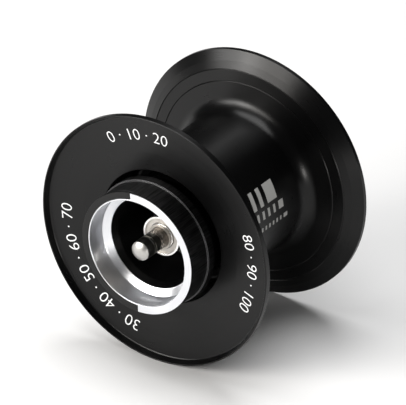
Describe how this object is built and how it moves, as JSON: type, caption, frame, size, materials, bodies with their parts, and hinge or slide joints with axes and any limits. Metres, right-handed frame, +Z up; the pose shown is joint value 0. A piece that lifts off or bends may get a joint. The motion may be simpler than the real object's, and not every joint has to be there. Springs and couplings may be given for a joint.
{
  "type": "baitcasting reel spool",
  "caption": "Fishing reel spool: dished flanges on a turned drum, a cupped brake rotor with a half-dark face, and a through shaft running in shielded ball bearings.",
  "frame": {"origin": "on the spin axis, at mid-width of the brake-side ball bearing", "axes": "+Y along the spin axis towards the handle side (the long tail of the shaft), -Y towards the brake side, +Z up, +X to the right seen from the brake side"},
  "size_m": [0.038, 0.0451, 0.038],
  "materials": {
    "spool_anodised": "satin black anodised turned aluminium",
    "rotor_metal": "bare machined inside and on the face, dark satin outside",
    "sensor_black": "dark matt",
    "shaft_steel": "ground, warm grey",
    "pin_steel": "ground",
    "race_steel": "polished",
    "cage_steel": "pressed",
    "ball_steel": "polished",
    "shield_steel": "matt pressed sheet",
    "clip_steel": "drawn wire",
    "spacer_steel": "turned",
    "collar_steel": "turned, warm grey"
  },
  "bodies": {
    "brake_bearing_ring": {"brake_bearing_outer_race": "race_steel", "brake_bearing_shields": "shield_steel", "brake_bearing_snap_rings": "clip_steel"},
    "brake_bearing_rollers": {"brake_bearing_cage": "cage_steel", "brake_bearing_balls": "ball_steel"},
    "spool": {"spool_body": "spool_anodised", "brake_rotor": "rotor_metal", "sensor_half_ring": "sensor_black", "spool_shaft": "shaft_steel", "drive_pin": "pin_steel", "brake_bearing_inner_race": "race_steel", "brake_spacer": "spacer_steel", "brake_retaining_collar": "collar_steel", "handle_bearing_inner_race": "race_steel", "handle_spacer": "spacer_steel", "handle_retaining_collar": "collar_steel"},
    "handle_bearing_ring": {"handle_bearing_outer_race": "race_steel", "handle_bearing_shields": "shield_steel", "handle_bearing_snap_rings": "clip_steel"},
    "handle_bearing_rollers": {"handle_bearing_cage": "cage_steel", "handle_bearing_balls": "ball_steel"}
  },
  "joints": [
    {"name": "spool_spin", "type": "hinge", "parent": "brake_bearing_ring", "child": "spool", "pos_m": [0, 0, 0], "axis": [0, 1, 0], "continuous": true},
    {"name": "brake_rollers_orbit", "type": "hinge", "parent": "brake_bearing_ring", "child": "brake_bearing_rollers", "pos_m": [0, 0, 0], "axis": [0, 1, 0], "continuous": true},
    {"name": "handle_ring_hold", "type": "hinge", "parent": "spool", "child": "handle_bearing_ring", "pos_m": [0, 0.0199, 0], "axis": [0, 1, 0], "continuous": true},
    {"name": "handle_rollers_orbit", "type": "hinge", "parent": "spool", "child": "handle_bearing_rollers", "pos_m": [0, 0.0199, 0], "axis": [0, 1, 0], "continuous": true}
  ],
  "couplings": [
    {"joint": "brake_rollers_orbit", "follows": "spool_spin", "ratio": 0.41111},
    {"joint": "handle_ring_hold", "follows": "spool_spin", "ratio": -1},
    {"joint": "handle_rollers_orbit", "follows": "spool_spin", "ratio": -0.58889}
  ]
}
